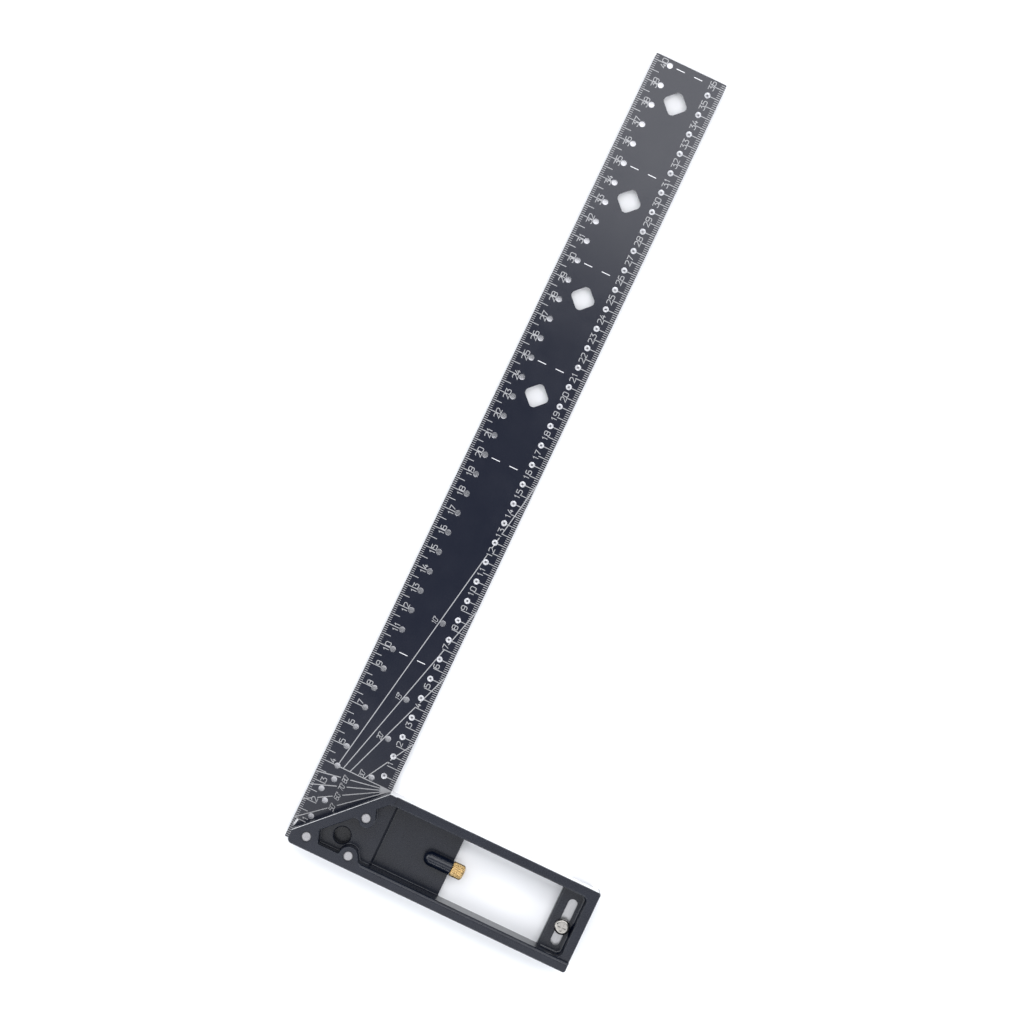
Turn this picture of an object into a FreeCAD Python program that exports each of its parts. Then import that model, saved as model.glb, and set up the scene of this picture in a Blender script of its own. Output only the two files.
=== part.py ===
import FreeCAD, Part
import math
import os

# Carpenter's try square: a flat graduated blade riveted into a cast handle that holds
# a pull-out scriber and a sliding support foot.
#
# Every size is in millimetres. The model is laid out from the heel: X runs along the
# handle, Y runs along the blade, Z is up from the underside. The heel is the corner
# where the handle's outer face meets the blade's outer edge. Each solid is moved at the
# end so that the origin is the middle of the underside of the whole object.

# Whole object
TOTAL_LENGTH = 403.0
HANDLE_END = 143.6

# Blade
BLADE_WIDTH = 36.0
BLADE_THICKNESS = 2.0
BLADE_FLOOR = 1.9
BLADE_HEEL_GAP = 0.2
BLADE_CORNER = 0.5
OUTER_DIMPLE_X = 8.15
OUTER_DIMPLE_FIRST = 40.0
OUTER_DIMPLE_COUNT = 37
INNER_DIMPLE_X = 29.8
INNER_DIMPLE_FIRST = 45.0
INNER_DIMPLE_COUNT = 36
DIMPLE_PITCH = 10.0
DIMPLE_RADIUS = 1.4
DIMPLE_HOLE_RADIUS = 0.45
DIAMOND_X = 18.0
DIAMOND_FIRST = 235.0
DIAMOND_PITCH = 50.0
DIAMOND_COUNT = 4
DIAMOND_SIDE = 9.3
DIAMOND_CORNER = 2.2

# Angle lines. Mitre lines leave the inner corner of the square at an angle from the
# blade's inner edge; fan lines leave the square line at an angle from the blade. Each has
# a dimple just beside it.
MITRE_LINES = ((80, 9.5), (70, 6.0), (60, 9.8), (50, 7.1))
FAN_LINES = ((10, 8.15, 120.7), (15, 11.15, 81.4), (20, 14.6, 61.3), (30, 21.9, 41.8))
LINE_TO_DIMPLE = 1.65

# Handle casting
HANDLE_WIDTH = 40.0
HANDLE_HEIGHT = 18.0
HANDLE_START = 2.0
MITRE_SHIFT = HANDLE_WIDTH - BLADE_WIDTH
HEEL_RADIUS = 2.4
END_RADIUS = 1.2
EDGE_ROUND = 0.5
RIM_DROP = 2.5
RIM_HEIGHT = HANDLE_HEIGHT - RIM_DROP
RIM_SEAM_X = 39.6
OUTER_RAIL = 5.05
OUTER_RAIL_ROUND = 1.6
OUTER_RAIL_ROUND_START = 37.4
INNER_RAIL_Y = 35.5
RIM_EDGE_ROUND = 0.6
MITRE_FLOOR = 8.3
RECESS_EDGE_ROUND = 0.45
RECESS_COVE = 0.5
FLOOR_STEP_TOP = 41.1
FLOOR_STEP_FOOT = 42.1
DEEP_FLOOR = 2.0
DEEP_FLOOR_COVE = 0.6
WINDOW_START = 76.2
WINDOW_END = 127.2
WINDOW_FAR_CORNER = 2.2
WINDOW_NEAR_CORNER = 0.7
WINDOW_EDGE_ROUND = 0.5
SLOT_CLEARANCE = 0.05

# Bridge that carries the clamp screw
BRIDGE_END = 139.0
BRIDGE_FLOOR = 6.0
BRIDGE_CORNER = 2.8
BRIDGE_EDGE_ROUND = 1.5
BRIDGE_COVE = 1.2
SCREW_SLOT_X = 134.3
SCREW_SLOT_Y = 19.8
SCREW_SLOT_LENGTH = 23.0
SCREW_SLOT_WIDTH = 4.5

# Rivets
RIVETS = {"rivet_heel": (9.5, 5.85), "rivet_corner": (30.7, 25.2), "rivet_outer": (30.7, 6.0)}
RIVET_RADIUS = 2.15
RIVET_END_GAP = 0.05
RIVET_EDGE = 0.3
RIVET_RING_RADIUS = 2.65
RIVET_RING_DEPTH = 0.3

# Outline of the recess from the heel round to the inner rail: (x, y, corner radius). It
# bulges in around the outer rivet and again around the corner rivet.
RECESS_HEEL_SIDE = ((15.8, OUTER_RAIL, 0.8), (26.3, OUTER_RAIL, 0.8), (26.3, 10.4, 4.35),
                    (33.2, 10.4, 3.8), (36.4, OUTER_RAIL, 1.5))
RECESS_MITRE_SIDE = ((37.95, INNER_RAIL_Y, 0.8), (33.2, 30.75, 0.6), (35.1, 26.0, 2.0),
                     (34.4, 21.0, 3.2), (29.6, 21.0, 2.0), (27.9, 23.1, 1.2),
                     (25.55, 23.1, 1.0), (13.7, 11.25, 0.6))

# Hanging hole, closed by the casting under the blade
HANGING_X = 24.05
HANGING_Y = 12.35
HANGING_RADIUS = 4.0
HANGING_CHAMFER = 0.4

# Scriber and the boss that stores it
SCRIBER_Y = 20.0
SCRIBER_Z = 5.7
BOSS_RADIUS = 3.6
BOSS_START = 62.3
HEAD_RADIUS = 3.65
HEAD_START = 76.4
HEAD_END = 82.7
HEAD_DOME_LENGTH = 1.2
HEAD_DOME_DROP = 1.9
HEAD_CHAMFER = 0.35
SPIGOT_RADIUS = 1.8
SPIGOT_START = 72.1
SPIGOT_BORE_RADIUS = 2.0
SPIGOT_BORE_START = 71.8
NEEDLE_RADIUS = 0.8
NEEDLE_START = 64.6
NEEDLE_TAPER = 3.0
NEEDLE_TIP_RADIUS = 0.08
NEEDLE_SEAT_END = 75.3
NEEDLE_BORE_RADIUS = 1.0
NEEDLE_BORE_START = 64.2
RING_X = 74.3
RING_SECTION = 0.4
RING_RADIUS = 1.56
RING_GROOVE_RADIUS = 1.15
RING_GROOVE_WIDTH = 0.96

# Support foot and clamp screw
FOOT_WIDTH = 10.0
FOOT_START = 8.0
FOOT_END = 39.6
FOOT_FLOOR = 2.0
FOOT_TOP = 3.9
FOOT_CORNER = 1.0
FOOT_SIDE_GAP = 0.1
FOOT_CHANNEL_TOP = 4.0
FOOT_CHANNEL_START = 1.3
SCREW_Y = 17.5
SCREW_RADIUS = 2.0
SCREW_RUNNING_GAP = 0.05
SCREW_END = 0.7
SCREW_HEAD_RADIUS = 3.7
SCREW_HEAD_HEIGHT = 2.5
SCREW_HEAD_GAP = 0.04
SCREW_HEAD_ROUND = 1.2
SCREW_HEAD_UNDERCUT = 0.6
CROSS_LENGTH = 4.2
CROSS_WIDTH = 0.9
CROSS_DEPTH = 1.4

OVERCUT = 1.0
TOUCH = 0.01
ORIGIN = FreeCAD.Vector(-HANDLE_END / 2, -TOTAL_LENGTH / 2, 0)
UP = FreeCAD.Vector(0, 0, 1)
ALONG = FreeCAD.Vector(1, 0, 0)


def point(x, y, z=0.0):
    return FreeCAD.Vector(x, y, z)


def rounded_wire(corners):
    """Closed outline in the XY plane from (x, y, radius) corners."""
    edges = []
    joints = []
    for index, (x, y, radius) in enumerate(corners):
        here = point(x, y)
        back = (point(*corners[index - 1][:2]) - here).normalize()
        ahead = (point(*corners[(index + 1) % len(corners)][:2]) - here).normalize()
        if radius == 0:
            joints.append((here, None, here))
            continue
        half_turn = back.getAngle(ahead) / 2
        reach = radius / math.tan(half_turn)
        middle_way = (back + ahead).normalize()
        to_middle = middle_way * (radius / math.sin(half_turn) - radius)
        joints.append((here + back * reach, here + to_middle, here + ahead * reach))
    for index, (start, middle, end) in enumerate(joints):
        if middle is not None:
            edges.append(Part.Arc(start, middle, end).toShape())
        next_start = joints[(index + 1) % len(joints)][0]
        edges.append(Part.LineSegment(end, next_start).toShape())
    return Part.Wire(edges)


def plate(corners, low, high):
    """Upright prism of a rounded outline between two heights."""
    face = Part.Face(rounded_wire(corners))
    face.translate(point(0, 0, low))
    return face.extrude(point(0, 0, high - low))


def block(x0, x1, y0, y1, z0, z1):
    return Part.makeBox(x1 - x0, y1 - y0, z1 - z0, point(x0, y0, z0))


def post(x, y, radius, low, high):
    return Part.makeCylinder(radius, high - low, point(x, y, low), UP)


def turned_along_x(profile):
    """Solid of revolution about the scriber's axis from (x, radius) points."""
    points = [point(x, SCRIBER_Y + radius, SCRIBER_Z) for x, radius in profile]
    face = Part.Face(Part.makePolygon(points + points[:1]))
    return face.revolve(point(0, SCRIBER_Y, SCRIBER_Z), ALONG, 360)


def edges_where(shape, test):
    return [edge for edge in shape.Edges if test(edge.BoundBox)]


def is_level(box, height):
    return abs(box.ZMin - height) < TOUCH and abs(box.ZMax - height) < TOUCH


def is_at(low, high, value):
    return abs(low - value) < TOUCH and abs(high - value) < TOUCH


def dimple_places():
    for index in range(OUTER_DIMPLE_COUNT):
        yield OUTER_DIMPLE_X, OUTER_DIMPLE_FIRST + index * DIMPLE_PITCH
    for index in range(INNER_DIMPLE_COUNT):
        yield INNER_DIMPLE_X, INNER_DIMPLE_FIRST + index * DIMPLE_PITCH
    for angle, x in MITRE_LINES:
        fall = math.radians(90 - angle)
        on_line = HANDLE_WIDTH - (BLADE_WIDTH - x) * math.tan(fall)
        yield x, on_line - LINE_TO_DIMPLE / math.cos(fall)
    for angle, start, y in FAN_LINES:
        lean = math.radians(angle)
        on_line = start + (y - HANDLE_WIDTH) * math.tan(lean)
        yield on_line + LINE_TO_DIMPLE / math.cos(lean), y


def dimple_cutter(x, y, top):
    """Countersink that runs into a small marking hole right through the blade."""
    depth = DIMPLE_RADIUS - DIMPLE_HOLE_RADIUS
    cone = Part.makeCone(DIMPLE_HOLE_RADIUS, DIMPLE_RADIUS, depth, point(x, y, top - depth), UP)
    return [cone, post(x, y, DIMPLE_HOLE_RADIUS, BLADE_FLOOR - OVERCUT, top)]


def diamond_cutter(index):
    half = DIAMOND_SIDE / math.sqrt(2)
    y = DIAMOND_FIRST + index * DIAMOND_PITCH
    corners = [(DIAMOND_X, y - half), (DIAMOND_X + half, y), (DIAMOND_X, y + half),
               (DIAMOND_X - half, y)]
    rounded = [(cx, cy, DIAMOND_CORNER) for cx, cy in corners]
    return plate(rounded, BLADE_FLOOR - OVERCUT, BLADE_FLOOR + BLADE_THICKNESS + OVERCUT)


def make_blade():
    top = BLADE_FLOOR + BLADE_THICKNESS
    corners = [(0, BLADE_HEEL_GAP), (BLADE_WIDTH, BLADE_HEEL_GAP),
               (BLADE_WIDTH, TOTAL_LENGTH), (0, TOTAL_LENGTH)]
    blade = plate([(x, y, BLADE_CORNER) for x, y in corners], BLADE_FLOOR, top)
    cutters = [diamond_cutter(index) for index in range(DIAMOND_COUNT)]
    for x, y in dimple_places():
        cutters += dimple_cutter(x, y, top)
    for x, y in RIVETS.values():
        cutters.append(post(x, y, RIVET_RADIUS, 0, HANDLE_HEIGHT))
    cutters.append(post(HANGING_X, HANGING_Y, HANGING_RADIUS, 0, HANDLE_HEIGHT))
    return blade.cut(Part.makeCompound(cutters))


def recess_outline():
    return RECESS_HEEL_SIDE + ((BRIDGE_END, OUTER_RAIL, BRIDGE_CORNER),
                               (BRIDGE_END, INNER_RAIL_Y, BRIDGE_CORNER)) + RECESS_MITRE_SIDE


def with_recess(corners, top):
    """Prism of an outline, with the recess opened in it above the mitre floor."""
    return plate(corners, 0, top).cut(plate(recess_outline(), MITRE_FLOOR, top + OVERCUT))


def is_outside(box):
    return (box.XMin < HANDLE_START + TOUCH or box.XMin > HANDLE_END - TOUCH
            or box.YMin < TOUCH or box.YMax > HANDLE_WIDTH - TOUCH)


def mitre_corners():
    return [(BLADE_WIDTH, HANDLE_WIDTH, 0), (HANDLE_START, HANDLE_START + MITRE_SHIFT, 0)]


def low_frame():
    """The whole outline of the handle at the height of its inner rail and end."""
    frame = with_recess([(HANDLE_START, 0, HEEL_RADIUS), (HANDLE_END, 0, END_RADIUS),
                         (HANDLE_END, HANDLE_WIDTH, END_RADIUS)] + mitre_corners(), RIM_HEIGHT)

    def is_inner_rim(box):
        return (is_level(box, RIM_HEIGHT) and box.YMin > OUTER_RAIL - TOUCH
                and box.YMax < INNER_RAIL_Y + TOUCH and box.XMax < BRIDGE_END + TOUCH)

    frame = frame.makeFillet(EDGE_ROUND, edges_where(
        frame, lambda box: is_level(box, RIM_HEIGHT) and is_outside(box)))
    return frame.makeFillet(RIM_EDGE_ROUND, edges_where(frame, is_inner_rim))


def mitre_block():
    """The higher part over the blade, up to the seam on the inner rail."""
    middle_y = HANDLE_WIDTH / 2
    high_part = with_recess([(HANDLE_START, 0, HEEL_RADIUS), (OUTER_RAIL_ROUND_START, 0, 0),
                             (OUTER_RAIL_ROUND_START, middle_y, 0), (RIM_SEAM_X, middle_y, 0),
                             (RIM_SEAM_X, HANDLE_WIDTH, 0)] + mitre_corners(), HANDLE_HEIGHT)

    def is_rim(box):
        at_seam = (is_at(box.XMin, box.XMax, OUTER_RAIL_ROUND_START)
                   or is_at(box.XMin, box.XMax, RIM_SEAM_X))
        return is_level(box, HANDLE_HEIGHT) and not at_seam

    high_part = high_part.makeFillet(RECESS_EDGE_ROUND, edges_where(
        high_part, lambda box: is_rim(box) and not is_outside(box)))
    return high_part.makeFillet(EDGE_ROUND, edges_where(
        high_part, lambda box: is_rim(box) and is_outside(box)))


def outer_rail_round():
    """Removes the corner along the outer rail's recess edge down to a large round."""
    length = HANDLE_END + OVERCUT - OUTER_RAIL_ROUND_START
    low = HANDLE_HEIGHT - OUTER_RAIL_ROUND
    middle_y = OUTER_RAIL - OUTER_RAIL_ROUND
    corner = block(OUTER_RAIL_ROUND_START, OUTER_RAIL_ROUND_START + length,
                   middle_y, OUTER_RAIL + TOUCH, low, HANDLE_HEIGHT + OVERCUT)
    keep = Part.makeCylinder(OUTER_RAIL_ROUND, length,
                             point(OUTER_RAIL_ROUND_START, middle_y, low), ALONG)
    return corner.cut(keep)


def outer_rail():
    """The higher rail along the outer face, with a large round along the recess."""
    start = OUTER_RAIL_ROUND_START
    rail = plate([(start, 0, 0), (HANDLE_END, 0, END_RADIUS), (HANDLE_END, OUTER_RAIL, 0),
                  (start, OUTER_RAIL, 0)], 0, HANDLE_HEIGHT)

    def is_outer_rim(box):
        at_seam = is_at(box.XMin, box.XMax, start) or is_at(box.YMin, box.YMax, OUTER_RAIL)
        return is_level(box, HANDLE_HEIGHT) and not at_seam

    return rail.makeFillet(EDGE_ROUND, edges_where(rail, is_outer_rim)).cut(outer_rail_round())


def mitre_floor_cove():
    """Material left along the foot of the recess walls in front of the floor step."""
    pocket = plate(recess_outline(), MITRE_FLOOR, HANDLE_HEIGHT)
    foot = edges_where(pocket, lambda box: is_level(box, MITRE_FLOOR))
    cove = pocket.cut(pocket.makeFillet(RECESS_COVE, foot))
    return cove.common(block(0, FLOOR_STEP_TOP, 0, HANDLE_WIDTH, MITRE_FLOOR, HANDLE_HEIGHT))


def deep_cutter():
    """Deep part of the recess, past a floor step with a drafted face, coved all round."""
    above = MITRE_FLOOR + OVERCUT
    section = [point(FLOOR_STEP_TOP, OUTER_RAIL, above), point(FLOOR_STEP_TOP, OUTER_RAIL,
                                                               MITRE_FLOOR),
               point(FLOOR_STEP_FOOT, OUTER_RAIL, DEEP_FLOOR),
               point(WINDOW_END, OUTER_RAIL, DEEP_FLOOR), point(WINDOW_END, OUTER_RAIL, above)]
    face = Part.Face(Part.makePolygon(section + section[:1]))
    cutter = face.extrude(point(0, INNER_RAIL_Y - OUTER_RAIL, 0))

    def is_foot(box):
        return is_level(box, DEEP_FLOOR) and not is_at(box.XMin, box.XMax, WINDOW_END)

    return cutter.makeFillet(DEEP_FLOOR_COVE, edges_where(cutter, is_foot))


def bridge_cutter():
    """Pocket over the bridge with coved floor edges, and the screw's slot."""
    start = WINDOW_END - BRIDGE_CORNER
    pocket = plate([(start, OUTER_RAIL, 0), (BRIDGE_END, OUTER_RAIL, BRIDGE_CORNER),
                    (BRIDGE_END, INNER_RAIL_Y, BRIDGE_CORNER), (start, INNER_RAIL_Y, 0)],
                   BRIDGE_FLOOR, MITRE_FLOOR + OVERCUT)

    def is_floor_edge(box):
        return is_level(box, BRIDGE_FLOOR) and not is_at(box.XMin, box.XMax, start)

    pocket = pocket.makeFillet(BRIDGE_COVE, edges_where(pocket, is_floor_edge))
    reach = (SCREW_SLOT_LENGTH - SCREW_SLOT_WIDTH) / 2
    radius = SCREW_SLOT_WIDTH / 2
    slot = block(SCREW_SLOT_X - radius, SCREW_SLOT_X + radius,
                 SCREW_SLOT_Y - reach, SCREW_SLOT_Y + reach, 0, MITRE_FLOOR)
    for side in (-1, 1):
        end = post(SCREW_SLOT_X, SCREW_SLOT_Y + side * reach, radius, 0, MITRE_FLOOR)
        slot = slot.fuse(end)
    return pocket.fuse(slot)


def window_cutter():
    return plate([(WINDOW_START, OUTER_RAIL, WINDOW_NEAR_CORNER),
                  (WINDOW_END, OUTER_RAIL, WINDOW_NEAR_CORNER),
                  (WINDOW_END, INNER_RAIL_Y, WINDOW_FAR_CORNER),
                  (WINDOW_START, INNER_RAIL_Y, WINDOW_NEAR_CORNER)],
                 -OVERCUT, MITRE_FLOOR + OVERCUT)


def lip_round(x_wall, height, radius, side):
    """Removes the square lip where a floor ends at the window; side points to the floor."""
    low = height - radius
    middle = x_wall + side * radius
    corner = block(min(x_wall - side * OVERCUT, middle), max(x_wall - side * OVERCUT, middle),
                   OUTER_RAIL, INNER_RAIL_Y, low, height + OVERCUT)
    keep = Part.makeCylinder(radius, HANDLE_WIDTH, point(middle, 0, low), point(0, 1, 0))
    return corner.cut(keep)


def scriber_boss():
    """Half-round boss with a ball end, standing on the deep floor."""
    ball_x = BOSS_START + BOSS_RADIUS
    length = WINDOW_START - ball_x
    barrel = Part.makeCylinder(BOSS_RADIUS, length, point(ball_x, SCRIBER_Y, SCRIBER_Z), ALONG)
    boss = barrel.fuse(Part.makeSphere(BOSS_RADIUS, point(ball_x, SCRIBER_Y, SCRIBER_Z)))
    boss = boss.fuse(block(ball_x, WINDOW_START, SCRIBER_Y - BOSS_RADIUS,
                           SCRIBER_Y + BOSS_RADIUS, DEEP_FLOOR / 2, SCRIBER_Z))
    boss = boss.fuse(post(ball_x, SCRIBER_Y, BOSS_RADIUS, DEEP_FLOOR / 2, SCRIBER_Z))
    return boss.common(block(BOSS_START, WINDOW_START, 0, HANDLE_WIDTH,
                             DEEP_FLOOR / 2, HANDLE_HEIGHT))


def scriber_bore():
    return turned_along_x([(WINDOW_START + OVERCUT, 0),
                           (WINDOW_START + OVERCUT, SPIGOT_BORE_RADIUS),
                           (SPIGOT_BORE_START, SPIGOT_BORE_RADIUS),
                           (SPIGOT_BORE_START, NEEDLE_BORE_RADIUS),
                           (NEEDLE_BORE_START, NEEDLE_BORE_RADIUS),
                           (NEEDLE_BORE_START, 0)])


def rivet_hole(x, y):
    hole = post(x, y, RIVET_RADIUS, -OVERCUT, HANDLE_HEIGHT + OVERCUT)
    top_ring = post(x, y, RIVET_RING_RADIUS, HANDLE_HEIGHT - RIVET_RING_DEPTH,
                    HANDLE_HEIGHT + OVERCUT)
    bottom_ring = post(x, y, RIVET_RING_RADIUS, -OVERCUT, RIVET_RING_DEPTH)
    return hole.fuse(top_ring).fuse(bottom_ring)


def hanging_hole():
    hole = post(HANGING_X, HANGING_Y, HANGING_RADIUS, BLADE_FLOOR, HANDLE_HEIGHT)
    mouth = Part.makeCone(HANGING_RADIUS, HANGING_RADIUS + HANGING_CHAMFER + OVERCUT,
                          HANGING_CHAMFER + OVERCUT,
                          point(HANGING_X, HANGING_Y, MITRE_FLOOR - HANGING_CHAMFER), UP)
    return hole.fuse(mouth)


def blade_slot():
    """Saw slot that takes the blade, open at the mitre, the heel and the outer face."""
    return block(-OVERCUT, BLADE_WIDTH + SLOT_CLEARANCE, -OVERCUT, HANDLE_WIDTH + OVERCUT,
                 BLADE_FLOOR - SLOT_CLEARANCE, BLADE_FLOOR + BLADE_THICKNESS + SLOT_CLEARANCE)


def foot_channel():
    half = FOOT_WIDTH / 2 + FOOT_SIDE_GAP
    return block(SCREW_SLOT_X - half, SCREW_SLOT_X + half, FOOT_CHANNEL_START,
                 HANDLE_WIDTH + OVERCUT, -OVERCUT, FOOT_CHANNEL_TOP)


def make_handle():
    handle = low_frame().fuse(mitre_block()).fuse(outer_rail()).fuse(mitre_floor_cove())
    cutters = [deep_cutter(), bridge_cutter(), window_cutter(), hanging_hole(),
               blade_slot(), foot_channel(),
               lip_round(WINDOW_START, DEEP_FLOOR, WINDOW_EDGE_ROUND, -1),
               lip_round(WINDOW_END, BRIDGE_FLOOR, BRIDGE_EDGE_ROUND, 1)]
    cutters += [rivet_hole(x, y) for x, y in RIVETS.values()]
    for cutter in cutters:
        handle = handle.cut(cutter)
    return handle.fuse(scriber_boss()).cut(scriber_bore()).removeSplitter()


def make_rivet(x, y):
    rivet = post(x, y, RIVET_RADIUS, RIVET_END_GAP, HANDLE_HEIGHT - RIVET_END_GAP)
    rims = edges_where(rivet, lambda box: box.ZLength < TOUCH)
    return rivet.makeChamfer(RIVET_EDGE, rims)


def make_scriber_head():
    groove_start = RING_X - RING_GROOVE_WIDTH / 2
    groove_end = RING_X + RING_GROOVE_WIDTH / 2
    return turned_along_x([(SPIGOT_START, NEEDLE_RADIUS), (SPIGOT_START, SPIGOT_RADIUS),
                           (groove_start, SPIGOT_RADIUS), (groove_start, RING_GROOVE_RADIUS),
                           (groove_end, RING_GROOVE_RADIUS), (groove_end, SPIGOT_RADIUS),
                           (HEAD_START, SPIGOT_RADIUS), (HEAD_START, HEAD_RADIUS - HEAD_CHAMFER),
                           (HEAD_START + HEAD_CHAMFER, HEAD_RADIUS),
                           (HEAD_END - HEAD_DOME_LENGTH, HEAD_RADIUS),
                           (HEAD_END - HEAD_DOME_LENGTH / 3, HEAD_RADIUS - HEAD_DOME_DROP / 3),
                           (HEAD_END, HEAD_RADIUS - HEAD_DOME_DROP), (HEAD_END, 0),
                           (NEEDLE_SEAT_END, 0), (NEEDLE_SEAT_END, NEEDLE_RADIUS)])


def make_scriber_needle():
    return turned_along_x([(NEEDLE_START, 0), (NEEDLE_START, NEEDLE_TIP_RADIUS),
                           (NEEDLE_START + NEEDLE_TAPER, NEEDLE_RADIUS),
                           (NEEDLE_SEAT_END, NEEDLE_RADIUS), (NEEDLE_SEAT_END, 0)])


def make_scriber_ring():
    return Part.makeTorus(RING_RADIUS, RING_SECTION, point(RING_X, SCRIBER_Y, SCRIBER_Z), ALONG)


def make_support_foot():
    half = FOOT_WIDTH / 2
    corners = [(SCREW_SLOT_X - half, FOOT_START), (SCREW_SLOT_X + half, FOOT_START),
               (SCREW_SLOT_X + half, FOOT_END), (SCREW_SLOT_X - half, FOOT_END)]
    foot = plate([(x, y, FOOT_CORNER) for x, y in corners], FOOT_FLOOR, FOOT_TOP)
    return foot.cut(post(SCREW_SLOT_X, SCREW_Y, SCREW_RADIUS + SCREW_RUNNING_GAP,
                         0, HANDLE_HEIGHT))


def make_clamp_screw():
    seat = BRIDGE_FLOOR + SCREW_HEAD_GAP
    top = seat + SCREW_HEAD_HEIGHT
    head = post(SCREW_SLOT_X, SCREW_Y, SCREW_HEAD_RADIUS, seat, top)
    rim = edges_where(head, lambda box: is_level(box, top))
    head = head.makeFillet(SCREW_HEAD_ROUND, rim)
    seat_edge = edges_where(head, lambda box: is_level(box, seat))
    head = head.makeChamfer(SCREW_HEAD_UNDERCUT, seat_edge)
    screw = head.fuse(post(SCREW_SLOT_X, SCREW_Y, SCREW_RADIUS, SCREW_END, seat))
    for size_x, size_y in ((CROSS_LENGTH, CROSS_WIDTH), (CROSS_WIDTH, CROSS_LENGTH)):
        screw = screw.cut(block(SCREW_SLOT_X - size_x / 2, SCREW_SLOT_X + size_x / 2,
                                SCREW_Y - size_y / 2, SCREW_Y + size_y / 2,
                                top - CROSS_DEPTH, top + OVERCUT))
    return screw


def export(node, shape):
    shape = shape.copy()
    shape.translate(ORIGIN)
    shape.exportStep("parts/" + node + ".step")
    print(node, "solids", len(shape.Solids), "valid", shape.isValid(),
          "volume %.1f" % shape.Volume)


def main():
    os.makedirs("parts", exist_ok=True)
    export("blade", make_blade())
    export("handle_body", make_handle())
    for node, (x, y) in RIVETS.items():
        export(node, make_rivet(x, y))
    export("scriber_head", make_scriber_head())
    export("scriber_needle", make_scriber_needle())
    export("scriber_ring", make_scriber_ring())
    export("support_foot", make_support_foot())
    export("clamp_screw", make_clamp_screw())


main()
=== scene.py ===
import itertools
import math

import bmesh
import bpy
from mathutils import Matrix, Vector


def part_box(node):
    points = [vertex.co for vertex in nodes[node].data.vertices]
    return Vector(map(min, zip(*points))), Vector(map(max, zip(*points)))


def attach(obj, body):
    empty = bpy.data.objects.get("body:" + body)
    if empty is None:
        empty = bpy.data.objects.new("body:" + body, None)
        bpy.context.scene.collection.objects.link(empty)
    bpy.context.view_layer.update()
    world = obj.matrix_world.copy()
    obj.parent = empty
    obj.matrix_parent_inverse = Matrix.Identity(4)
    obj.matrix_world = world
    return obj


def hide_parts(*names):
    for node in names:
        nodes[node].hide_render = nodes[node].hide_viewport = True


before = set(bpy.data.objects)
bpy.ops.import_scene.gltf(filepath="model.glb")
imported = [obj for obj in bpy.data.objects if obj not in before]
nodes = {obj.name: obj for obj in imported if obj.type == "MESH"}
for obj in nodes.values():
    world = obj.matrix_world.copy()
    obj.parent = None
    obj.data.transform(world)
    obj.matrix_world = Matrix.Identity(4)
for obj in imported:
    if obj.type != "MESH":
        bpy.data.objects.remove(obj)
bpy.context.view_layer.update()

# Looks of a carpenter's try square. Lengths are in millimetres from the heel, the corner
# where the handle's outer face meets the blade's outer edge: X along the handle, Y along
# the blade, Z up. place() turns them into metres in the frame's own axes.
MM = 0.001
blade_low, blade_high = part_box("blade")
handle_low, handle_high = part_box("handle_body")
HEEL = Vector((blade_low.x, handle_low.y, 0))
BLADE_WIDTH = (blade_high.x - blade_low.x) / MM
BLADE_TOP = blade_high.z / MM
BLADE_BASE = blade_low.z / MM
HANDLE_WIDTH = (handle_high.y - handle_low.y) / MM
HANDLE_TOP = handle_high.z / MM

# Scales. A tick or a figure is sunk into the blade's face by LINE_SINK.
OUTER_LAST_CM = 40
INNER_LAST_CM = 36
TICKS_PAST_LAST = 2
LINE_HEIGHT = 0.012
LINE_SINK = 0.01
TICK_WIDTH = 0.27
LONG_TICK_WIDTH = 0.34
ANGLE_LINE_WIDTH = 0.42
LINE_INSET = 0.2
OUTER_TICKS = {"mm": 1.8, "half": 4.75, "cm": 6.8}
INNER_TICKS = {"mm": 2.2, "half": 4.85, "cm": 5.2}
INNER_SINGLE_TICK = 7.0
OUTER_FIGURE_X = 5.25
INNER_FIGURE_X = 29.95
FIGURE_HEIGHT = 2.6
FIGURE_STEP = 1.25
SINGLE_FIGURE_LIFT = 1.45
ONE_FIGURE_ROOM = 1.5
TWO_FIGURES_ROOM = 2.2
DASH_ROWS = (100, 200, 250, 300, 350, 400)
DASHES = ((11.55, 15.7), (20.6, 24.75))
DASH_WIDTH = 0.36

# Marking dimples. A dish is drawn down through (radius, depth) sections.
DIMPLE_RADIUS = 1.4
DIMPLE_HOLE = 0.45
OUTER_DIMPLE_X = 8.15
INNER_DIMPLE_X = 29.8
LINE_TO_DIMPLE = 1.65
DIMPLE_SIDES = 24
CUP_WALL = 0.01
DISH_SLOPE = (1.15, 0.01)
DISH_BOTTOM = (0.5, 0.025)

# Angle lines: (angle, dimple's x) from the inner corner, and (angle, start x, dimple's y)
MITRE_LINES = ((80, 9.5), (70, 6.0), (60, 9.8), (50, 7.1))
MITRE_LABEL_X = 14.2
FAN_LINES = ((10, 8.15, 120.7), (15, 11.15, 81.4), (20, 14.6, 61.3), (30, 21.9, 41.8))
FAN_LABEL_X = 20.1
ANGLE_FIGURE_HEIGHT = 2.35
LABEL_GAP = 2.3
LABEL_FIGURE_SHARE = 0.72
LABEL_SLANT = 0.18
LABEL_SHIFTS = (-1.15, 0.25, 1.35)
LIFT_STEP = 0.004
PIVOT_HATCH = 5.6
HATCH_ANGLES = (85, 75, 65, 55)
# A bright bar by the heel, from one (x, y) end to the other, drawn in the same pale colour as the
# dashes
HEEL_BRIGHT_BAR = ((1.35, 6.6), (2.35, 10.2))
HEEL_BRIGHT_BAR_WIDTH = 0.9

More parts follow.
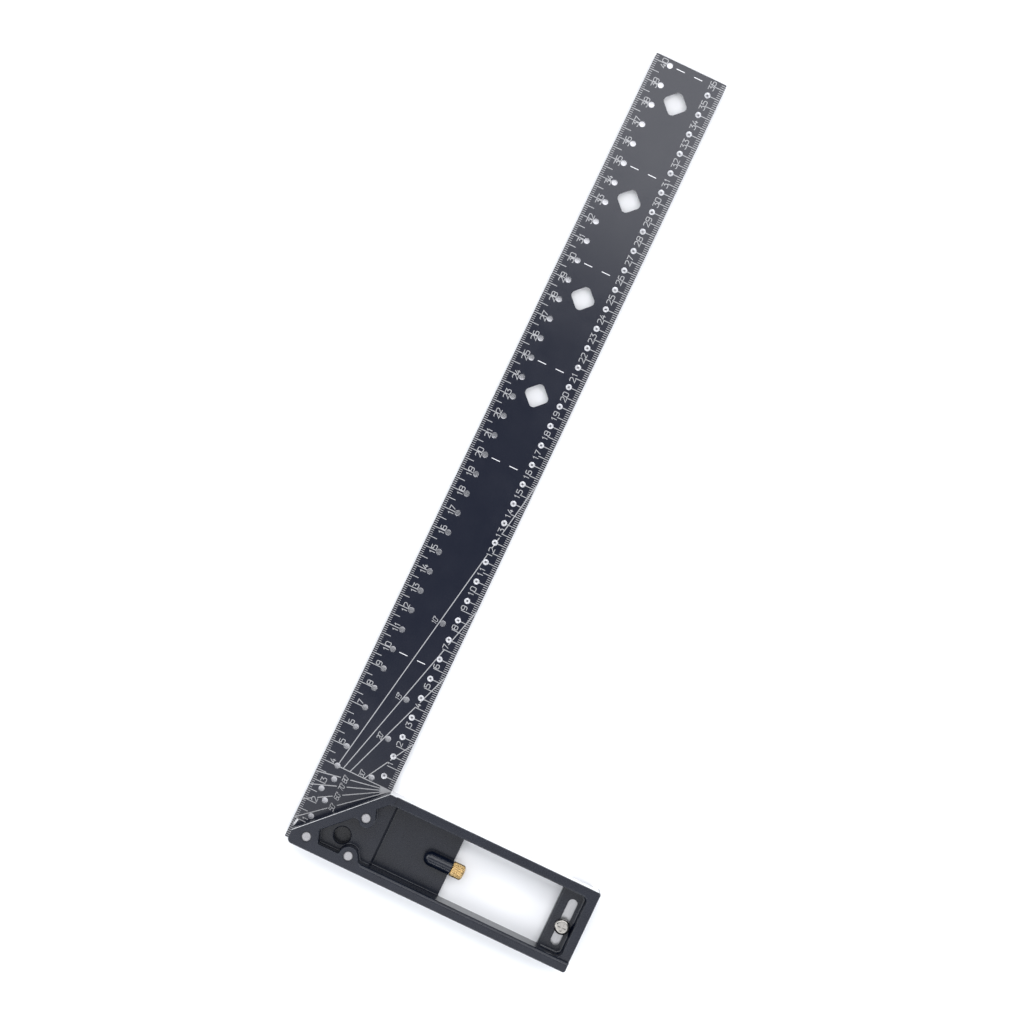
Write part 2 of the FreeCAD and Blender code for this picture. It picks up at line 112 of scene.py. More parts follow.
# Knurled head. Its sections are (distance from its outer end, radius, ridge height).
SPIGOT_RADIUS = 1.8
GROOVE_RADIUS = 1.15
RIDGE_COUNT = 25
RIDGE_POINTS = 8
RIDGE_SLANT = 0.03
RIDGE_HEIGHT = 0.34
GRIP_RADIUS = 3.65
GROOVE_START = 7.92
GROOVE_END = 8.88
SHOULDER = 6.3
SHOULDER_CHAMFER = 0.4
GRIP_START = 6.0
GRIP_STEP = 0.6
GRIP_STEPS = 9
DOME_SECTIONS = [(0.85, 3.52, 0.28), (0.5, 3.2, 0.15), (0.2, 2.7, 0.05), (0.0, 1.75, 0)]
HEAD_SECTIONS = [(GROOVE_END, SPIGOT_RADIUS, 0), (GROOVE_END, GROOVE_RADIUS, 0),
                 (GROOVE_START, GROOVE_RADIUS, 0), (GROOVE_START, SPIGOT_RADIUS, 0),
                 (SHOULDER, SPIGOT_RADIUS, 0), (SHOULDER, GRIP_RADIUS - SHOULDER_CHAMFER, 0)]
HEAD_SECTIONS += [(GRIP_START - GRIP_STEP * step, GRIP_RADIUS, RIDGE_HEIGHT)
                  for step in range(GRIP_STEPS)]
HEAD_SECTIONS += DOME_SECTIONS

# Bare metal on the inner face, and a pale band in the same colour along the top edge of the mitre
# face
INNER_FACE_SKIN = 0.02
MITRE_EDGE_BAND = 0.22
MITRE_EDGE_DEPTH = 0.9

# Camera, straight above the blade and turned about the upright. Distance and width of the
# view are in metres, and the centre of the view in millimetres from the heel.
CAMERA_DISTANCE = 1.35
CAMERA_TURN = 25.42
CAMERA_NEAREST = 0.05
VIEW_WIDTH = 0.4757
VIEW_CENTRE = (30.84, 181.27)
SENSOR = 36.0

# Studio, in metres: (name, centre, aim, size, radiance, colour) of each soft box
FLOOR_HALF = 4.0
FLOOR_SQUARES = 4
SKY = (0.82, 0.89, 1.0, 1)
SKY_STRENGTH = 0.2
SOFT_WHITE = (0.985, 0.985, 1.0)
COOL_WHITE = (0.95, 0.975, 1.0)
PANELS = (
    ("far_panel", (0.0, 0.86, 1.7), (0.0, 0.86, 0), (3.0, 1.2), 2.9, SOFT_WHITE),
    ("near_panel", (0.0, -0.74, 1.7), (0.0, -0.74, 0), (3.0, 0.76), 1.9, SOFT_WHITE),
    ("front_panel", (0.0, -2.0, 1.0), (0, 0, 0), (2.4, 0.8), 5.0, COOL_WHITE),
    ("back_panel", (0.0, 2.2, 1.0), (0, 0, 0), (2.4, 0.8), 3.4, COOL_WHITE),
    ("left_panel", (-1.9, 0.0, 1.1), (0, 0, 0), (2.4, 0.8), 3.6, COOL_WHITE),
    ("right_panel", (1.9, 0.0, 1.1), (0, 0, 0), (2.4, 0.8), 3.6, COOL_WHITE),
)


def place(x, y, z=0.0):
    return HEEL + Vector((x, y, z)) * MM


# ---------------------------------------------------------------- materials

def new_material(name):
    material = bpy.data.materials.new(name)
    material.use_nodes = True
    tree = material.node_tree
    return material, tree, tree.nodes["Principled BSDF"]


def add_node(tree, kind, **inputs):
    node = tree.nodes.new(kind)
    for key, value in inputs.items():
        node.inputs[key.replace("_", " ")].default_value = value
    return node


def object_pattern(tree, stretch=(1, 1, 1)):
    """Object coordinates, stretched along the axes where grain runs."""
    coordinates = tree.nodes.new("ShaderNodeTexCoord")
    mapping = tree.nodes.new("ShaderNodeMapping")
    mapping.inputs["Scale"].default_value = stretch
    tree.links.new(coordinates.outputs["Object"], mapping.inputs["Vector"])
    return mapping.outputs["Vector"]


def noise(tree, vector, scale, detail=3.0, roughness=0.5):
    node = add_node(tree, "ShaderNodeTexNoise", Scale=scale, Detail=detail, Roughness=roughness)
    tree.links.new(vector, node.inputs["Vector"])
    return node.outputs["Fac"]


def spread(tree, value, low, high, from_low=0.3, from_high=0.7):
    """A pattern's middle range, spread between two numbers."""
    node = tree.nodes.new("ShaderNodeMapRange")
    node.inputs["From Min"].default_value = from_low
    node.inputs["From Max"].default_value = from_high
    node.inputs["To Min"].default_value = low
    node.inputs["To Max"].default_value = high
    tree.links.new(value, node.inputs["Value"])
    return node.outputs["Result"]


def blend_colours(tree, factor, first, second):
    node = tree.nodes.new("ShaderNodeMix")
    node.data_type = "RGBA"
    for socket, colour in (("A", first), ("B", second)):
        target = [i for i in node.inputs if i.name == socket and i.type == "RGBA"][0]
        if isinstance(colour, tuple):
            target.default_value = (*colour, 1)
        else:
            tree.links.new(colour, target)
    tree.links.new(factor, node.inputs["Factor"])
    return [o for o in node.outputs if o.type == "RGBA"][0]


def maths(tree, operation, first, second):
    node = tree.nodes.new("ShaderNodeMath")
    node.operation = operation
    for index, value in enumerate((first, second)):
        if isinstance(value, (int, float)):
            node.inputs[index].default_value = value
        else:
            tree.links.new(value, node.inputs[index])
    return node.outputs["Value"]


def add_bump(tree, shader, height, distance, strength=1.0):
    bump = add_node(tree, "ShaderNodeBump", Strength=strength, Distance=distance)
    tree.links.new(height, bump.inputs["Height"])
    tree.links.new(bump.outputs["Normal"], shader.inputs["Normal"])


def position(tree):
    coordinates = tree.nodes.new("ShaderNodeTexCoord")
    split = tree.nodes.new("ShaderNodeSeparateXYZ")
    tree.links.new(coordinates.outputs["Object"], split.inputs["Vector"])
    return split.outputs


def anodised_black():
    """Satin black anodising with faint lengthwise grain and slow mottling."""
    material, tree, shader = new_material("anodised_black")
    grain = noise(tree, object_pattern(tree, (1, 0.03, 1)), 5200, 4.0)
    mottle = noise(tree, object_pattern(tree), 90, 5.0)
    tone = maths(tree, "ADD", spread(tree, grain, 0, 0.5), spread(tree, mottle, 0, 0.5))
    colour = blend_colours(tree, tone, (0.0058, 0.0076, 0.0165), (0.0076, 0.0094, 0.019))
    tree.links.new(colour, shader.inputs["Base Color"])
    tree.links.new(spread(tree, mottle, 0.165, 0.2), shader.inputs["Roughness"])
    shader.inputs["Specular IOR Level"].default_value = 0.55
    add_bump(tree, shader, grain, 0.000004, 0.5)
    return material


def machined_mask(tree):
    """One on the handle's bare inner face and on a pale band along the top edge of its mitre face.
    """
    axes = position(tree)
    inner = HEEL.y + (HANDLE_WIDTH - INNER_FACE_SKIN) * MM
    on_inner = maths(tree, "GREATER_THAN", axes["Y"], inner)
    # A pale band in the metal colour along the top of the mitre face, MITRE_EDGE_DEPTH deep
    across = maths(tree, "SUBTRACT", axes["Y"], axes["X"])
    mitre = (HEEL.y - HEEL.x) + (HANDLE_WIDTH - BLADE_WIDTH - MITRE_EDGE_BAND) * MM
    pale_band = maths(tree, "GREATER_THAN", across, mitre)
    near_top = maths(tree, "GREATER_THAN", axes["Z"], (HANDLE_TOP - MITRE_EDGE_DEPTH) * MM)
    return maths(tree, "MAXIMUM", on_inner, maths(tree, "MULTIPLY", pale_band, near_top))


def cast_black():
    """Fine-textured black paint over a casting, with the bare metal colour on its machined inner
    face and on a pale band along the top edge of its mitre face.
    """
    material, tree, shader = new_material("cast_black")
    pattern = object_pattern(tree)
    fine = noise(tree, pattern, 2600, 3.0, 0.6)
    slow = noise(tree, pattern, 140, 5.0)
    bare = machined_mask(tree)
    paint = blend_colours(tree, spread(tree, slow, 0, 1), (0.001, 0.0028, 0.0095),
                          (0.0032, 0.0055, 0.0138))
    scratches = noise(tree, object_pattern(tree, (0.05, 0.05, 1)), 9000, 2.0)
    metal = blend_colours(tree, spread(tree, scratches, 0, 1), (0.66, 0.66, 0.67),
                          (0.8, 0.8, 0.81))
    tree.links.new(blend_colours(tree, bare, paint, metal), shader.inputs["Base Color"])
    rough_paint = spread(tree, fine, 0.24, 0.3)
    rough = maths(tree, "ADD", rough_paint, maths(tree, "MULTIPLY", bare, 0.05))
    tree.links.new(rough, shader.inputs["Roughness"])
    shader.inputs["Specular IOR Level"].default_value = 0.5
    painted = maths(tree, "SUBTRACT", 1.0, bare)
    add_bump(tree, shader, maths(tree, "MULTIPLY", fine, painted), 0.00002, 0.7)
    return material


def turned_aluminium(name, dark, light, rough_low, rough_high, metallic=0.85):
    """Bare aluminium with fine tool marks, on rivets and dimples."""
    material, tree, shader = new_material(name)
    marks = noise(tree, object_pattern(tree), 3800, 4.0, 0.65)
    colour = blend_colours(tree, spread(tree, marks, 0, 1), dark, light)
    tree.links.new(colour, shader.inputs["Base Color"])
    tree.links.new(spread(tree, marks, rough_low, rough_high), shader.inputs["Roughness"])
    shader.inputs["Metallic"].default_value = metallic
    add_bump(tree, shader, marks, 0.000012, 0.6)
    return material


def laser_mark(name, dark, light):
    """Pale, slightly sparkling mark that a laser leaves in anodising."""
    material, tree, shader = new_material(name)
    speckle = noise(tree, object_pattern(tree), 6500, 3.0, 0.7)
    colour = blend_colours(tree, spread(tree, speckle, 0, 1), dark, light)
    tree.links.new(colour, shader.inputs["Base Color"])
    tree.links.new(spread(tree, speckle, 0.42, 0.55), shader.inputs["Roughness"])
    shader.inputs["Metallic"].default_value = 0.3
    return material


def knurled_brass():
    material, tree, shader = new_material("knurled_brass")
    tarnish = noise(tree, object_pattern(tree), 900, 5.0, 0.6)
    colour = blend_colours(tree, spread(tree, tarnish, 0, 1), (0.42, 0.27, 0.1), (0.62, 0.45, 0.23))
    tree.links.new(colour, shader.inputs["Base Color"])
    tree.links.new(spread(tree, tarnish, 0.2, 0.34), shader.inputs["Roughness"])
    shader.inputs["Metallic"].default_value = 1.0
    add_bump(tree, shader, tarnish, 0.000008, 0.5)
    return material


def brushed_steel(name, grain_stretch, dark, light, rough_low, rough_high):
    material, tree, shader = new_material(name)
    grain = noise(tree, object_pattern(tree, grain_stretch), 4200, 4.0)
    tree.links.new(blend_colours(tree, spread(tree, grain, 0, 1), dark, light),
                   shader.inputs["Base Color"])
    tree.links.new(spread(tree, grain, rough_low, rough_high), shader.inputs["Roughness"])
    shader.inputs["Metallic"].default_value = 1.0
    add_bump(tree, shader, grain, 0.000006, 0.5)
    return material


def black_rubber():
    material, tree, shader = new_material("black_rubber")
    skin = noise(tree, object_pattern(tree), 2400, 3.0)
    colour = blend_colours(tree, spread(tree, skin, 0, 1), (0.012, 0.012, 0.012),
                           (0.03, 0.03, 0.03))
    tree.links.new(colour, shader.inputs["Base Color"])
    tree.links.new(spread(tree, skin, 0.6, 0.8), shader.inputs["Roughness"])
    add_bump(tree, shader, skin, 0.00001, 0.5)
    return material


def pale_floor():
    material, tree, shader = new_material("pale_floor")
    shade = noise(tree, object_pattern(tree), 1.5, 1.0)
    colour = blend_colours(tree, spread(tree, shade, 0, 1), (0.93, 0.935, 0.95),
                           (0.94, 0.945, 0.96))
    tree.links.new(colour, shader.inputs["Base Color"])
    shader.inputs["Roughness"].default_value = 0.7
    shader.inputs["Specular IOR Level"].default_value = 0.2
    return material


def paint_node(node, material):
    slots = nodes[node].data.materials
    slots.clear()
    slots.append(material)


# ---------------------------------------------------------------- building helpers

def new_piece(name, bm, material, body, smooth=False):
    mesh = bpy.data.meshes.new(name)
    bm.to_mesh(mesh)
    bm.free()
    mesh.materials.append(material)
    for polygon in mesh.polygons:
        polygon.use_smooth = smooth
    piece = bpy.data.objects.new(name, mesh)
    bpy.context.scene.collection.objects.link(piece)
    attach(piece, body)
    return piece


def add_bar(bm, height, start, end, width):
    """A thin bar from one (x, y) point to another, raised on a face at that height."""
    along = Vector(end) - Vector(start)
    middle = (Vector(start) + Vector(end)) / 2
    size = Matrix.Diagonal((along.length * MM, width * MM, (LINE_HEIGHT + LINE_SINK) * MM, 1))
    turn = Matrix.Rotation(math.atan2(along.y, along.x), 4, "Z")
    level = height + (LINE_HEIGHT - LINE_SINK) / 2
    spot = Matrix.Translation(place(middle.x, middle.y, level))
    bmesh.ops.create_cube(bm, size=1, matrix=spot @ turn @ size)


def add_line_with_gaps(bm, height, start, end, width, gaps):
    """A bar that breaks wherever it runs inside one of the (x, y, radius) gaps."""
    start, end = Vector(start), Vector(end)
    length = (end - start).length
    way = (end - start) / length
    breaks = []
    for x, y, radius in gaps:
        offset = Vector((x, y)) - start
        along = offset.dot(way)
        aside = abs(offset.cross(way))
        if aside < radius:
            half = math.sqrt(radius ** 2 - aside ** 2)
            breaks.append((along - half, along + half))
    reached = 0.0
    for low, high in sorted(breaks) + [(length, length)]:
        if min(low, length) - reached > width:
            add_bar(bm, height, start + way * reached, start + way * min(low, length), width)
        reached = max(reached, high)


FIGURE_WIDTH = 0.7
STROKE = 0.13
SHARPEST_MITRE = 2.0
FLATTEST_MITRE = 0.01
SAME_SPOT = 1e-5


def opposite(stroke):
    """The same stroke turned half round, as a 9 is a 6 upside down."""
    return [(FIGURE_WIDTH - x, 1 - y) for x, y in stroke]


def ring_of(middle, radius, corners=8):
    turn = 2 * math.pi / corners
    return [(middle[0] + radius * math.cos(turn * i), middle[1] + radius * math.sin(turn * i))
            for i in range(corners)]


BOX_FIGURE = [(0.12, 0), (0.58, 0), (0.7, 0.15), (0.7, 0.85), (0.58, 1), (0.12, 1), (0, 0.85),
              (0, 0.15)]
SIX = [(0.6, 1), (0.15, 1), (0, 0.82), (0, 0.12), (0.12, 0), (0.58, 0), (0.7, 0.12), (0.7, 0.42),
       (0.58, 0.55), (STROKE / 2, 0.55)]
# Each figure, 1 high, as (closed, points) strokes
FIGURE_STROKES = {
    "0": [(True, BOX_FIGURE)],
    "1": [(False, [(0.16, 0.78), (0.38, 1), (0.38, 0)])],
    "2": [(False, [(0, 0.85), (0.12, 1), (0.58, 1), (0.7, 0.85), (0.7, 0.62), (0.02, 0),
                   (0.7, 0)])],
    "3": [(False, [(0, 1), (0.7, 1), (0.36, 0.6), (0.58, 0.58), (0.7, 0.45), (0.7, 0.15),
                   (0.58, 0), (0.12, 0), (0, 0.14)])],
    "4": [(False, [(0.42, 1), (0, 0.3), (0.7, 0.3)]),
          (False, [(0.5, 0.62), (0.5, 0.3 + STROKE / 2)]),
          (False, [(0.5, 0.3 - STROKE / 2), (0.5, 0)])],
    "5": [(False, [(0.65, 1), (0.05, 1), (0.05, 0.58), (0.55, 0.58), (0.7, 0.45), (0.7, 0.15),
                   (0.58, 0), (0.12, 0), (0, 0.1)])],
    "6": [(False, SIX)],
    "7": [(False, [(0, 1), (0.7, 1), (0.28, 0)])],
    "8": [(True, BOX_FIGURE), (False, [(STROKE / 2, 0.52), (0.7 - STROKE / 2, 0.52)])],
    "9": [(False, opposite(SIX))],
    "°": [(True, ring_of((0.2, 0.84), 0.16))],
}
figure_meshes = {}


def mitre_offset(points, index, closed):
    """From a stroke's middle line to its left edge at one of its points."""
    here = Vector(points[index])
    sides = []
    for step in (-1, 1):
        other = index + step
        if closed or 0 <= other < len(points):
            way = (Vector(points[other % len(points)]) - here).normalized() * step
            sides.append(Vector((-way.y, way.x)))
    middle = sum(sides, Vector((0, 0))).normalized()
    reach = min(1 / max(middle.dot(sides[0]), FLATTEST_MITRE), SHARPEST_MITRE)
    return middle * reach * STROKE / 2


def add_stroke(flat, points, closed):
    """A flat ribbon along the points, extruded edge by edge from its first end."""
    left_end = None
    for index in list(range(len(points))) + ([0] if closed else []):
        aside = mitre_offset(points, index, closed)
        left = (Vector(points[index]) + aside).to_3d()
        right = (Vector(points[index]) - aside).to_3d()
        if left_end is None:
            left_end = flat.verts.new(left)
            tip = flat.edges.new((left_end, flat.verts.new(right)))
            continue
        made = bmesh.ops.extrude_edge_only(flat, edges=[tip])["geom"]
        far_verts = [g for g in made if isinstance(g, bmesh.types.BMVert)]
        tip = next(g for g in made if isinstance(g, bmesh.types.BMEdge)
                   and all(v in far_verts for v in g.verts))
        beside = [edge.other_vert(left_end) for edge in left_end.link_edges]
        left_end = next(v for v in far_verts if v in beside)
        left_end.co = left
        tip.other_vert(left_end).co = right


def figure(character):
    """One figure as a thin raised shape, 1 high and 1 thick, made once."""
    if character not in figure_meshes:
        flat = bmesh.new()
        for closed, points in FIGURE_STROKES[character]:
            add_stroke(flat, points, closed)
        bmesh.ops.remove_doubles(flat, verts=flat.verts[:], dist=SAME_SPOT)
        extruded = bmesh.ops.extrude_face_region(flat, geom=flat.faces[:])
        raised = [g for g in extruded["geom"] if isinstance(g, bmesh.types.BMVert)]
        bmesh.ops.translate(flat, verts=raised, vec=(0, 0, 1))
        bmesh.ops.translate(flat, verts=flat.verts[:], vec=(-FIGURE_WIDTH / 2, -0.5, 0))
        bmesh.ops.recalc_face_normals(flat, faces=flat.faces[:])
        figure_meshes[character] = bpy.data.meshes.new("figure")
        flat.to_mesh(figure_meshes[character])
        flat.free()
    return figure_meshes[character]


def add_figure(bm, character, x, y, height, width_share=1.0, slant=0.0):
    """A figure that reads along the blade, its top towards the outer edge."""
    shaped = bmesh.new()
    shaped.from_mesh(figure(character))
    size = Matrix.Diagonal((height * width_share * MM, height * MM,
                            (LINE_HEIGHT + LINE_SINK) * MM, 1))
    lean = Matrix(((1, slant, 0, 0), (0, 1, 0, 0), (0, 0, 1, 0), (0, 0, 0, 1)))
    turn = Matrix(((0, -1, 0, 0), (1, 0, 0, 0), (0, 0, 1, 0), (0, 0, 0, 1)))
    spot = Matrix.Translation(place(x, y, BLADE_TOP - LINE_SINK))
    shaped.transform(spot @ turn @ lean @ size)
    scratch = bpy.data.meshes.new("scratch")
    shaped.to_mesh(scratch)
    shaped.free()
    bm.from_mesh(scratch)
    bpy.data.meshes.remove(scratch)


def add_number(bm, number, x, y):
    """One figure above its line, or two figures astride it."""
    text = str(number)
    if len(text) == 1:
        add_figure(bm, text, x, y + SINGLE_FIGURE_LIFT, FIGURE_HEIGHT)
        return
    for character, side in zip(text, (-1, 1)):
        add_figure(bm, character, x, y + side * FIGURE_STEP, FIGURE_HEIGHT)


# ---------------------------------------------------------------- scales

def mitre_line_y(angle, x):
    return HANDLE_WIDTH - (BLADE_WIDTH - x) * math.tan(math.radians(90 - angle))


def fan_line_x(angle, start, y):
    return start + (y - HANDLE_WIDTH) * math.tan(math.radians(angle))


def dimple_places():
    places = []
    for centimetre in range(4, OUTER_LAST_CM + 1):
        places.append((OUTER_DIMPLE_X, centimetre * 10.0))
    for centimetre in range(INNER_LAST_CM):
        places.append((INNER_DIMPLE_X, HANDLE_WIDTH + centimetre * 10.0 + 5))
    for angle, x in MITRE_LINES:
        aside = LINE_TO_DIMPLE / math.cos(math.radians(90 - angle))
        places.append((x, mitre_line_y(angle, x) - aside))
    for angle, start, y in FAN_LINES:
        aside = LINE_TO_DIMPLE / math.cos(math.radians(angle))
        places.append((fan_line_x(angle, start, y) + aside, y))
    return places


def tick_kind(millimetre):
    if millimetre % 10 == 0:
        return "cm"
    return "half" if millimetre % 5 == 0 else "mm"


def add_scale_ticks(bm):
    for millimetre in range(1, OUTER_LAST_CM * 10 + TICKS_PAST_LAST + 1):
        kind = tick_kind(millimetre)
        reach = OUTER_TICKS[kind]
        width = TICK_WIDTH if kind == "mm" else LONG_TICK_WIDTH
        add_bar(bm, BLADE_TOP, (0, millimetre), (reach, millimetre), width)
    for millimetre in range(1, INNER_LAST_CM * 10 + TICKS_PAST_LAST + 1):
        kind = tick_kind(millimetre)
        reach = INNER_TICKS[kind]
        if kind == "cm" and millimetre < 100:
            reach = INNER_SINGLE_TICK
        width = TICK_WIDTH if kind == "mm" else LONG_TICK_WIDTH
        y = HANDLE_WIDTH + millimetre
        add_bar(bm, BLADE_TOP, (BLADE_WIDTH - reach, y), (BLADE_WIDTH, y), width)


def add_scale_numbers(bm):
    for centimetre in range(1, OUTER_LAST_CM + 1):
        add_number(bm, centimetre, OUTER_FIGURE_X, centimetre * 10)
    for centimetre in range(1, INNER_LAST_CM + 1):
        add_number(bm, centimetre, INNER_FIGURE_X, HANDLE_WIDTH + centimetre * 10)


def add_angle_lines(bm, gaps):
    """Angle lines, each a hair higher than the last so that none shares a face."""
    inner_end = BLADE_WIDTH - LINE_INSET
    pivot = (inner_end, HANDLE_WIDTH)
    heights = (BLADE_TOP + LIFT_STEP * count for count in itertools.count(1))
    for angle in HATCH_ANGLES:
        fall = math.radians(90 - angle)
        end = (BLADE_WIDTH - PIVOT_HATCH * math.cos(fall),
               HANDLE_WIDTH - PIVOT_HATCH * math.sin(fall))
        add_bar(bm, next(heights), end, pivot, ANGLE_LINE_WIDTH)
    add_line_with_gaps(bm, next(heights), (OUTER_TICKS["cm"], HANDLE_WIDTH), pivot,
                       ANGLE_LINE_WIDTH, gaps)
    for angle, _ in MITRE_LINES:
        label = (MITRE_LABEL_X, mitre_line_y(angle, MITRE_LABEL_X), LABEL_GAP)
        start = (LINE_INSET, mitre_line_y(angle, LINE_INSET))
        add_line_with_gaps(bm, next(heights), start, pivot, ANGLE_LINE_WIDTH, gaps + [label])
    for angle, start, _ in FAN_LINES:
        far_y = HANDLE_WIDTH + (inner_end - start) / math.tan(math.radians(angle))
        add_line_with_gaps(bm, next(heights), (start, HANDLE_WIDTH), (inner_end, far_y),
                           ANGLE_LINE_WIDTH, gaps)


def add_angle_figures(bm):
    labels = [(angle, MITRE_LABEL_X, mitre_line_y(angle, MITRE_LABEL_X))
              for angle, _ in MITRE_LINES]
    labels += [(angle, FAN_LABEL_X, y) for angle, _, y in FAN_LINES]
    for angle, x, y in labels:
        for character, shift in zip(str(angle) + "°", LABEL_SHIFTS):
            add_figure(bm, character, x, y + shift, ANGLE_FIGURE_HEIGHT,
                       LABEL_FIGURE_SHARE, LABEL_SLANT)


def number_gaps():
    """Room that a line leaves around each scale number."""
    gaps = []
    for centimetre in range(1, 10):
        y = centimetre * 10 + SINGLE_FIGURE_LIFT
        gaps.append((OUTER_FIGURE_X, y, ONE_FIGURE_ROOM))
        gaps.append((INNER_FIGURE_X, HANDLE_WIDTH + y, ONE_FIGURE_ROOM))
    for centimetre in range(10, INNER_LAST_CM + 1):
        gaps.append((INNER_FIGURE_X, HANDLE_WIDTH + centimetre * 10, TWO_FIGURES_ROOM))
    return gaps


def build_scales():
    dimple_gaps = [(x, y, DIMPLE_RADIUS) for x, y in dimple_places()]
    lines = bmesh.new()
    add_scale_ticks(lines)
    add_angle_lines(lines, dimple_gaps + number_gaps())
    new_piece("scale_lines_top", lines, fine_mark, "handle")
    dashes = bmesh.new()
    for y in DASH_ROWS:
        for low, high in DASHES:
            add_bar(dashes, BLADE_TOP, (low, y), (high, y), DASH_WIDTH)
    # The bright bar by the heel
    add_bar(dashes, BLADE_TOP, *HEEL_BRIGHT_BAR, HEEL_BRIGHT_BAR_WIDTH)
    new_piece("scale_dashes_top", dashes, bright_mark, "handle")
    figures = bmesh.new()
    add_scale_numbers(figures)
    add_angle_figures(figures)
    new_piece("scale_figures_top", figures, fine_mark, "handle")


def add_dimple(bm, x, y, sections):
    """A ring on the blade's face, drawn down through (radius, height) sections."""
    spot = Matrix.Translation(place(x, y, BLADE_TOP + CUP_WALL))
    rim = bmesh.ops.create_circle(bm, cap_ends=False, radius=DIMPLE_RADIUS * MM,
                                  segments=DIMPLE_SIDES, matrix=spot)
    edges = list(dict.fromkeys(e for v in rim["verts"] for e in v.link_edges))
    for radius, height in sections:
        ring = bmesh.ops.extrude_edge_only(bm, edges=edges)["geom"]
        verts = [g for g in ring if isinstance(g, bmesh.types.BMVert)]
        edges = [g for g in ring if isinstance(g, bmesh.types.BMEdge)
                 and all(v in verts for v in g.verts)]
        centre = place(x, y, height)
        for vert in verts:
            way = Vector((vert.co.x - centre.x, vert.co.y - centre.y, 0)).normalized()
            vert.co = centre + way * radius * MM
    return edges


def finish_dimples(name, bm, metal):
    bmesh.ops.recalc_face_normals(bm, faces=bm.faces[:])
    piece = new_piece(name, bm, metal, "handle")
    wall = piece.modifiers.new("wall", "SOLIDIFY")
    wall.thickness = CUP_WALL * MM
    wall.offset = 0


def build_dimples(shaded_dish_metal, cup_metal):
    """Shallow dishes on the outer row and angle lines, and drilled cups on the inner row. The
    dishes get a darker copy of the dimple metal, which is painted shade.
    """
    cups = bmesh.new()
    dishes = bmesh.new()
    depth = DIMPLE_RADIUS - DIMPLE_HOLE
    cup_sections = ((DIMPLE_HOLE, BLADE_TOP - depth + CUP_WALL),
                    (DIMPLE_HOLE - CUP_WALL, BLADE_BASE + CUP_WALL))
    dish_sections = [(radius, BLADE_TOP - sunk) for radius, sunk in (DISH_SLOPE, DISH_BOTTOM)]
    for x, y in dimple_places():
        if x == INNER_DIMPLE_X:
            add_dimple(cups, x, y, cup_sections)
        else:
            bottom = add_dimple(dishes, x, y, dish_sections)
            bmesh.ops.contextual_create(dishes, geom=bottom)
    finish_dimples("inner_dimples", cups, cup_metal)
    finish_dimples("outer_dimples", dishes, shaded_dish_metal)


# ---------------------------------------------------------------- scriber head

def build_knurled_head(brass):
    """Turned head with slanting ridges and a domed end, and the spigot behind it."""
    head_low, head_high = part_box("scriber_head")
    axis_y = (head_low.y + head_high.y) / 2
    axis_z = (head_low.z + head_high.z) / 2
    bm = bmesh.new()
    stand_up = Matrix.Rotation(math.pi / 2, 4, "Y")
    spot = Matrix.Translation((head_low.x, axis_y, axis_z))
    bmesh.ops.create_circle(bm, cap_ends=True, radius=SPIGOT_RADIUS * MM,
                            segments=RIDGE_COUNT * RIDGE_POINTS, matrix=spot @ stand_up)
    edges = [e for e in bm.edges if e.is_boundary]
    for from_end, radius, ridge in HEAD_SECTIONS:
        made = bmesh.ops.extrude_edge_only(bm, edges=edges)["geom"]
        verts = [g for g in made if isinstance(g, bmesh.types.BMVert)]
        edges = [g for g in made if isinstance(g, bmesh.types.BMEdge)
                 and all(v in verts for v in g.verts)]
        x = head_high.x - from_end * MM
        for vert in verts:
            way = math.atan2(vert.co.z - axis_z, vert.co.y - axis_y)
            wave = math.cos(RIDGE_COUNT * (way + RIDGE_SLANT * from_end))
            reach = (radius - ridge * (0.5 - 0.5 * wave)) * MM
            vert.co = (x, axis_y + reach * math.cos(way), axis_z + reach * math.sin(way))
    bmesh.ops.contextual_create(bm, geom=edges)
    bmesh.ops.recalc_face_normals(bm, faces=bm.faces[:])
    piece = new_piece("knurled_head", bm, brass, "scriber", smooth=True)
    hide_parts("scriber_head")


# ---------------------------------------------------------------- stage

def build_floor():
    bm = bmesh.new()
    bmesh.ops.create_grid(bm, x_segments=FLOOR_SQUARES, y_segments=FLOOR_SQUARES,
                          size=FLOOR_HALF)
    mesh = bpy.data.meshes.new("floor")
    bm.to_mesh(mesh)
    bm.free()
    mesh.materials.append(pale_floor())
    floor = bpy.data.objects.new("floor", mesh)
    bpy.context.scene.collection.objects.link(floor)


def add_panel(name, centre, aim, size, radiance, colour):
    """A soft box: radiance times area times pi is its power."""
    light = bpy.data.lights.new(name, "AREA")
    light.shape = "RECTANGLE"
    light.size, light.size_y = size
    light.energy = radiance * light.size * light.size_y * math.pi
    light.color = colour
    panel = bpy.data.objects.new(name, light)
    bpy.context.scene.collection.objects.link(panel)
    panel.location = centre
    panel.rotation_euler = (Vector(aim) - Vector(centre)).to_track_quat("-Z", "Y").to_euler()


def build_lights():
    world = bpy.data.worlds.new("studio")
    world.use_nodes = True
    background = world.node_tree.nodes["Background"]
    background.inputs["Color"].default_value = SKY
    background.inputs["Strength"].default_value = SKY_STRENGTH
    bpy.context.scene.world = world
    for panel in PANELS:
        add_panel(*panel)


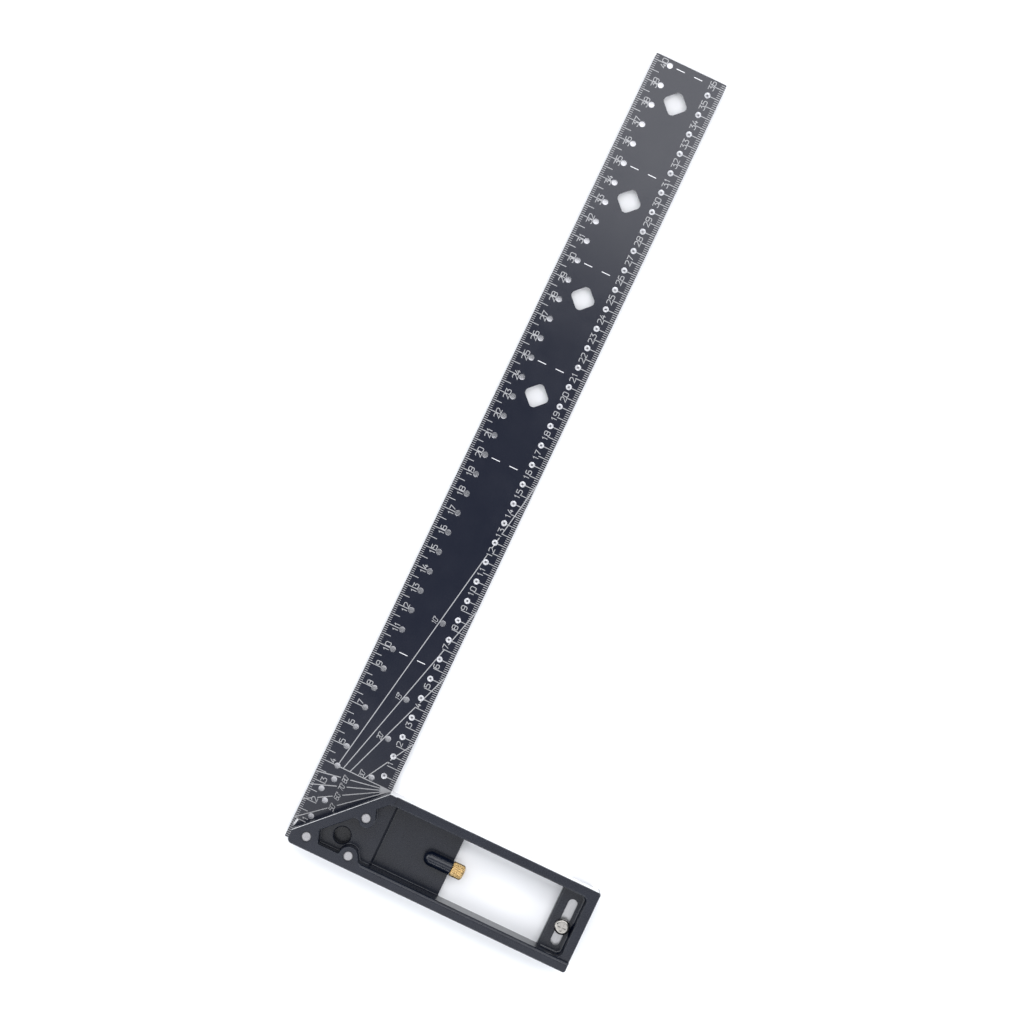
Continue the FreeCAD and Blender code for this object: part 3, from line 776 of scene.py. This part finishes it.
def build_camera():
    camera = bpy.data.cameras.new("camera")
    camera.sensor_width = SENSOR
    camera.lens = SENSOR * CAMERA_DISTANCE / VIEW_WIDTH
    camera.clip_start = CAMERA_NEAREST
    carrier = bpy.data.objects.new("camera", camera)
    bpy.context.scene.collection.objects.link(carrier)
    carrier.location = place(*VIEW_CENTRE, BLADE_TOP) + Vector((0, 0, CAMERA_DISTANCE))
    carrier.rotation_euler = (0, 0, math.radians(CAMERA_TURN))
    bpy.context.scene.camera = carrier


# ---------------------------------------------------------------- assembly

fine_mark = laser_mark("fine_mark", (0.29, 0.29, 0.3), (0.41, 0.41, 0.42))
bright_mark = laser_mark("bright_mark", (0.62, 0.62, 0.63), (0.8, 0.8, 0.82))
aluminium = turned_aluminium("turned_aluminium", (0.24, 0.24, 0.25), (0.5, 0.49, 0.5), 0.34, 0.5)
# Painted shade: a darker copy of the dimple aluminium, for the outer-row and angle-line dimples
shaded_dish_aluminium = turned_aluminium("shaded_dish_aluminium", (0.34, 0.34, 0.36), (0.46, 0.46, 0.48),
                                  0.2, 0.28, 1.0)
cup_aluminium = turned_aluminium("cup_aluminium", (0.6, 0.6, 0.62), (0.85, 0.85, 0.87), 0.34, 0.5)
brass = knurled_brass()
foot_steel = brushed_steel("foot_steel", (1, 0.04, 1), (0.42, 0.42, 0.43), (0.56, 0.56, 0.57),
                           0.3, 0.42)
needle_steel = brushed_steel("needle_steel", (0.05, 1, 1), (0.4, 0.4, 0.42), (0.6, 0.6, 0.62),
                             0.18, 0.3)
screw_nickel = brushed_steel("screw_nickel", (1, 1, 1), (0.32, 0.308, 0.287), (0.41, 0.393, 0.367),
                             0.1, 0.18)

paint_node("blade", anodised_black())
paint_node("handle_body", cast_black())
for rivet in ("rivet_heel", "rivet_corner", "rivet_outer"):
    paint_node(rivet, aluminium)
paint_node("scriber_head", brass)
paint_node("scriber_needle", needle_steel)
paint_node("scriber_ring", black_rubber())
paint_node("support_foot", foot_steel)
paint_node("clamp_screw", screw_nickel)

build_scales()
build_dimples(shaded_dish_aluminium, cup_aluminium)
build_knurled_head(brass)
build_floor()
build_lights()
build_camera()
bpy.context.scene.view_settings.view_transform = "Standard"
